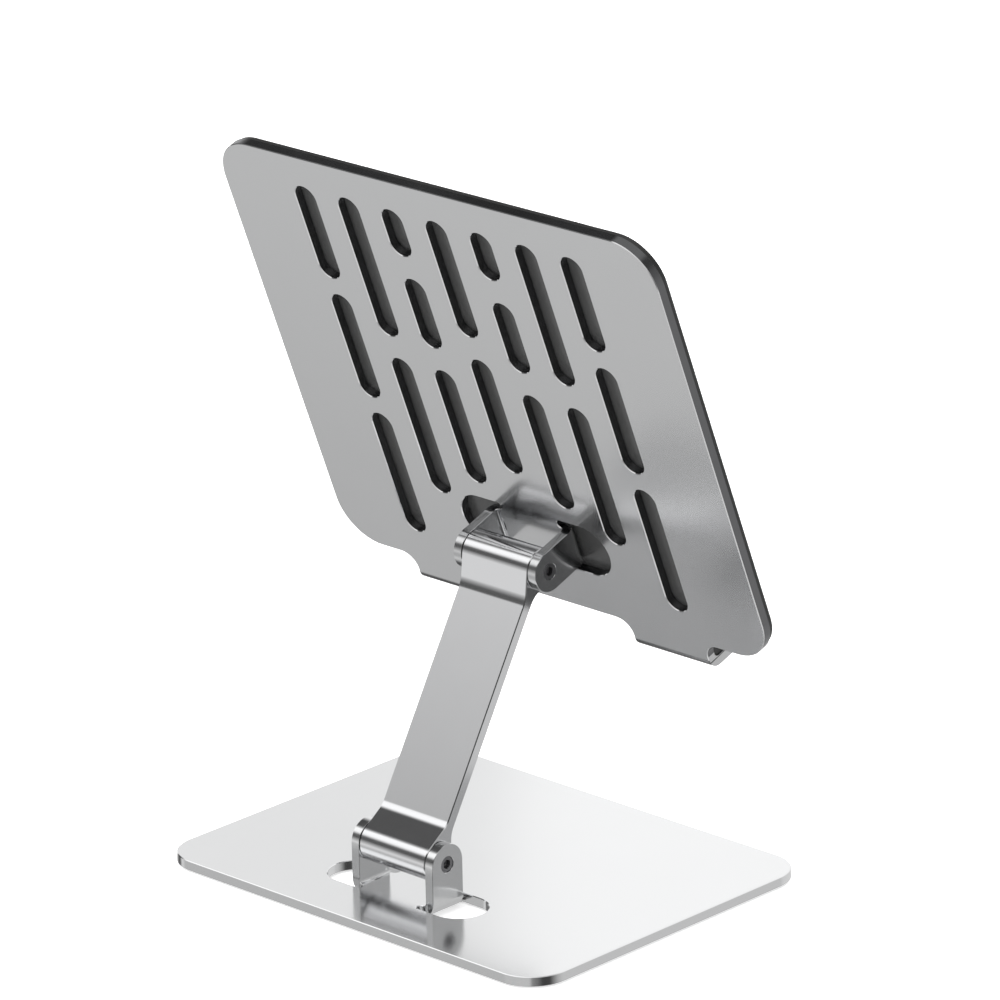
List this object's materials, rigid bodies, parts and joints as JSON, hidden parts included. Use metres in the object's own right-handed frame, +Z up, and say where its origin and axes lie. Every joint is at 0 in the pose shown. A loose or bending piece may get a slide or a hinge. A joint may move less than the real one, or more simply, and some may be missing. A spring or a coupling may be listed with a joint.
{
  "type": "folding tablet stand",
  "caption": "Folding tablet stand: flat base, single arm with a friction hinge at each end, slotted back panel with two padded hooks for the tablet's bottom edge.",
  "frame": {"origin": "centre of the base pad's resting face", "axes": "+X across the stand to the user's right, +Y away from the user, +Z up"},
  "size_m": [0.169, 0.115, 0.2108],
  "materials": {
    "base_metal": "polished, soft reflections",
    "arm_metal": "fine bead-blasted, anodised",
    "panel_metal": "fine bead-blasted, anodised",
    "silicone": "satin",
    "hinge_steel": "ground",
    "screw_steel": "blackened, satin",
    "washer_polymer": "matte",
    "bush_bronze": "machined"
  },
  "bodies": {
    "base": {"base_plate": "base_metal", "base_pad": "silicone", "lower_axle": "hinge_steel", "lower_screw_left": "screw_steel", "lower_screw_right": "screw_steel", "lower_washer_left": "washer_polymer", "lower_washer_right": "washer_polymer"},
    "arm": {"arm": "arm_metal", "lower_bush_left": "bush_bronze", "lower_bush_right": "bush_bronze", "lower_disc_spring_1": "hinge_steel", "lower_disc_spring_2": "hinge_steel", "lower_disc_spring_3": "hinge_steel", "lower_disc_spring_4": "hinge_steel", "upper_bush_left": "bush_bronze", "upper_bush_right": "bush_bronze", "upper_disc_spring_1": "hinge_steel", "upper_disc_spring_2": "hinge_steel", "upper_disc_spring_3": "hinge_steel", "upper_disc_spring_4": "hinge_steel"},
    "panel": {"back_panel": "panel_metal", "panel_pad": "silicone", "hook_pad_left": "silicone", "hook_pad_right": "silicone", "upper_axle": "hinge_steel", "upper_screw_left": "screw_steel", "upper_screw_right": "screw_steel", "upper_washer_left": "washer_polymer", "upper_washer_right": "washer_polymer"}
  },
  "joints": [
    {"name": "lower_hinge", "type": "hinge", "parent": "base", "child": "arm", "pos_m": [0, 0.031, 0.0155], "axis": [1, 0, 0], "range_deg": [-30, 36]},
    {"name": "upper_hinge", "type": "hinge", "parent": "arm", "child": "panel", "pos_m": [0, -0.01365, 0.09191], "axis": [1, 0, 0], "range_deg": [-100, 70]}
  ]
}
